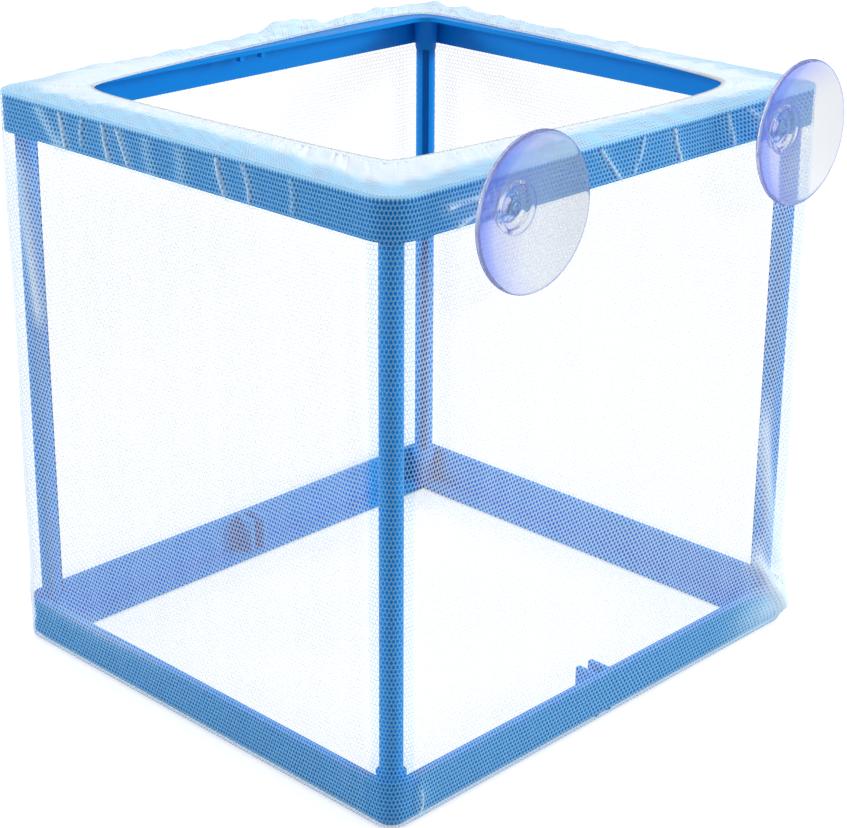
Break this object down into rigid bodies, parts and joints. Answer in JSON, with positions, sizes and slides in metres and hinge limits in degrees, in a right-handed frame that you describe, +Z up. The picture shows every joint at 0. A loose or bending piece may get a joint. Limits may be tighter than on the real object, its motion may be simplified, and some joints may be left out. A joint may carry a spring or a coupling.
{
  "type": "fish breeding box",
  "caption": "Open-topped fish breeding box: a plug-together plastic frame inside a fine net bag with an elastic hem, with suction cups on one long side.",
  "frame": {"origin": "centre of the net floor's underside, on the surface the box stands on", "axes": "+Z up through the open mouth, -Y towards the suction cups, +X along the cup side to the right when facing the cups"},
  "size_m": [0.1614, 0.1584, 0.1682],
  "materials": {
    "frame_plastic": "semi-gloss moulded polypropylene, mid blue",
    "net": "fine hexagonal knitted net, white, see-through",
    "elastic": "flat woven elastic, off-white",
    "cup_pvc": "clear soft PVC with a faint lilac tint, smooth"
  },
  "bodies": {
    "box": {"bottom_frame": "frame_plastic", "top_frame": "frame_plastic", "post_front_left": "frame_plastic", "post_front_right": "frame_plastic", "post_back_left": "frame_plastic", "post_back_right": "frame_plastic", "net_floor": "net", "net_wall_front": "net", "net_wall_back": "net", "net_wall_left": "net", "net_wall_right": "net", "net_turnover_front": "net", "net_turnover_back": "net", "net_turnover_left": "net", "net_turnover_right": "net", "net_hem": "net", "hem_elastic": "elastic"},
    "cup_left": {"suction_cup_left": "cup_pvc"},
    "cup_right": {"suction_cup_right": "cup_pvc"}
  },
  "joints": [
    {"name": "cup_left_spin", "type": "hinge", "parent": "box", "child": "cup_left", "pos_m": [-0.0465, -0.0733, 0.1494], "axis": [0, -1, 0], "continuous": true},
    {"name": "cup_right_spin", "type": "hinge", "parent": "box", "child": "cup_right", "pos_m": [0.055, -0.0733, 0.1494], "axis": [0, -1, 0], "continuous": true}
  ]
}
